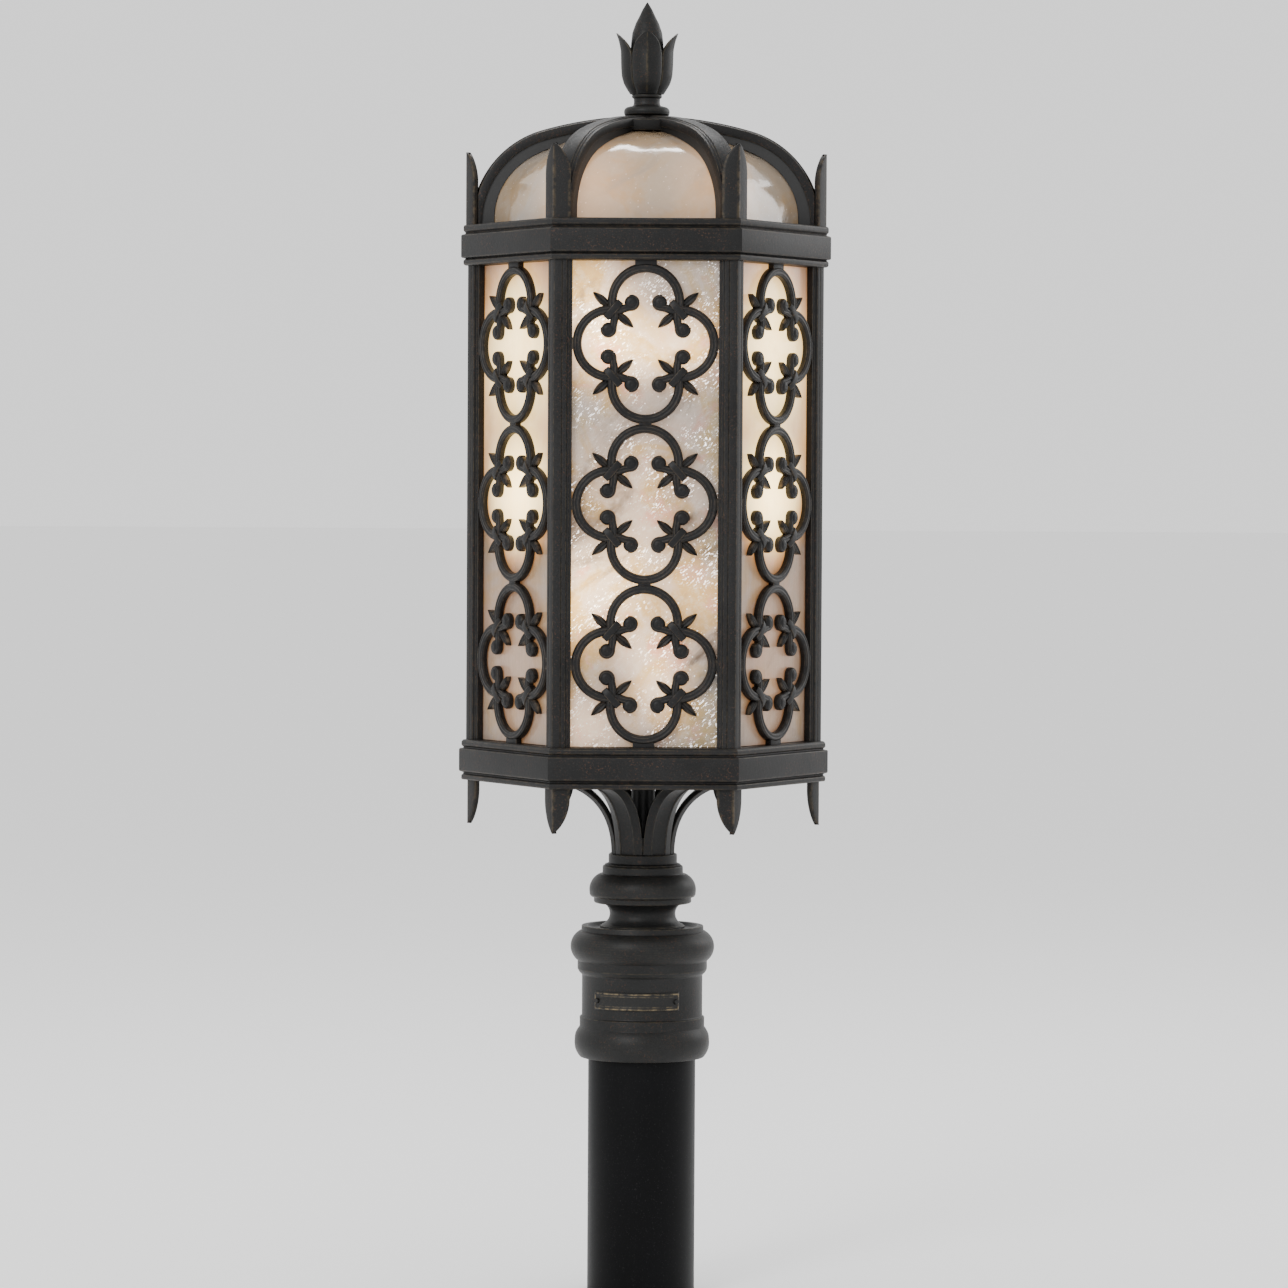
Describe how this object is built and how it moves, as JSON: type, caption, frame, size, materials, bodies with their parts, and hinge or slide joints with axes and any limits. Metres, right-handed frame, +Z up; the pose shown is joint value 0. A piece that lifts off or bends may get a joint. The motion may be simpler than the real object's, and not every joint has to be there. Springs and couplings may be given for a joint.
{
  "type": "post-top lantern",
  "caption": "Hexagonal post-top lantern with seeded glass panels, openwork scroll grilles, a ribbed glass dome and a turned fitter on a round post.",
  "frame": {"origin": "centre of the post's cut lower end", "axes": "+Z up along the post, one flat face of the lantern looks along -Y"},
  "size_m": [0.262, 0.2268, 0.9151],
  "materials": {
    "bronze_finish": "dark bronze powder finish with brown speckle",
    "post_paint": "satin black",
    "plate_finish": "dark antiqued plate",
    "dark_steel": "blackened",
    "plated_steel": "zinc plated",
    "seeded_glass": "seeded opalescent glass",
    "dome_glass": "seeded opalescent glass",
    "black_seal": "black glazing seal",
    "lampholder_plastic": "black phenolic",
    "candle_sleeve": "ivory sleeve",
    "bulb_glass": "clear glass",
    "lamp_cap": "plain brass"
  },
  "bodies": {
    "post": {"post_tube": "post_paint"},
    "fitter": {"post_fitter": "bronze_finish", "nameplate": "plate_finish", "nameplate_screws": "dark_steel"},
    "set_screw_1": {"set_screw_1": "dark_steel"},
    "set_screw_2": {"set_screw_2": "dark_steel"},
    "set_screw_3": {"set_screw_3": "dark_steel"},
    "head": {"arm_collar": "bronze_finish", "arm_screws": "dark_steel", "bottom_pan": "bronze_finish", "bottom_rail": "bronze_finish", "candle_sleeve_1": "candle_sleeve", "candle_sleeve_2": "candle_sleeve", "candle_sleeve_3": "candle_sleeve", "centre_rod": "plated_steel", "clip_screws": "dark_steel", "glass_clips": "plated_steel", "glass_panel_1": "seeded_glass", "glass_panel_2": "seeded_glass", "glass_panel_3": "seeded_glass", "glass_panel_4": "seeded_glass", "glass_panel_5": "seeded_glass", "glass_panel_6": "seeded_glass", "grille_1": "bronze_finish", "grille_2": "bronze_finish", "grille_3": "bronze_finish", "grille_4": "bronze_finish", "grille_5": "bronze_finish", "grille_6": "bronze_finish", "lamp_bracket": "plated_steel", "lampholder_1": "lampholder_plastic", "lampholder_2": "lampholder_plastic", "lampholder_3": "lampholder_plastic", "neck": "bronze_finish", "pendants": "bronze_finish", "rod_coupling": "plated_steel", "stem": "plated_steel", "stem_locknuts": "dark_steel", "stile_1": "bronze_finish", "stile_2": "bronze_finish", "stile_3": "bronze_finish", "stile_4": "bronze_finish", "stile_5": "bronze_finish", "stile_6": "bronze_finish", "stile_screws": "dark_steel", "support_arms": "bronze_finish", "top_rail": "bronze_finish"},
    "roof": {"roof_rim": "bronze_finish", "roof_ribs": "bronze_finish", "crown_spikes": "bronze_finish", "dome_glass": "dome_glass", "dome_seals": "black_seal"},
    "finial": {"finial_spear": "bronze_finish", "finial_calyx": "bronze_finish"},
    "bulb_1": {"bulb_glass_1": "bulb_glass", "bulb_cap_1": "lamp_cap"},
    "bulb_2": {"bulb_glass_2": "bulb_glass", "bulb_cap_2": "lamp_cap"},
    "bulb_3": {"bulb_glass_3": "bulb_glass", "bulb_cap_3": "lamp_cap"}
  },
  "joints": [
    {"name": "fitter_slide", "type": "slide", "parent": "post", "child": "fitter", "axis": [0, 0, 1], "range_m": [0, 0.09]},
    {"name": "head_turn", "type": "hinge", "parent": "fitter", "child": "head", "pos_m": [0, 0, 0.262], "axis": [0, 0, 1], "continuous": true},
    {"name": "roof_lift", "type": "slide", "parent": "head", "child": "roof", "axis": [0, 0, 1], "range_m": [0, 0.14]},
    {"name": "finial_turn", "type": "hinge", "parent": "roof", "child": "finial", "pos_m": [0, 0, 0.84], "axis": [0, 0, 1], "continuous": true},
    {"name": "set_screw_1_turn", "type": "hinge", "parent": "fitter", "child": "set_screw_1", "pos_m": [0.043, 0, 0.17925], "axis": [1, 0, 0], "continuous": true},
    {"name": "set_screw_2_turn", "type": "hinge", "parent": "fitter", "child": "set_screw_2", "pos_m": [0, 0.043, 0.17925], "axis": [0, 1, 0], "continuous": true},
    {"name": "set_screw_3_turn", "type": "hinge", "parent": "fitter", "child": "set_screw_3", "pos_m": [-0.043, 0, 0.17925], "axis": [-1, 0, 0], "continuous": true},
    {"name": "bulb_1_turn", "type": "hinge", "parent": "head", "child": "bulb_1", "pos_m": [0.02944, 0.017, 0.52], "axis": [0, 0, 1], "continuous": true},
    {"name": "bulb_2_turn", "type": "hinge", "parent": "head", "child": "bulb_2", "pos_m": [-0.02944, 0.017, 0.52], "axis": [0, 0, 1], "continuous": true},
    {"name": "bulb_3_turn", "type": "hinge", "parent": "head", "child": "bulb_3", "pos_m": [0, -0.034, 0.52], "axis": [0, 0, 1], "continuous": true}
  ]
}
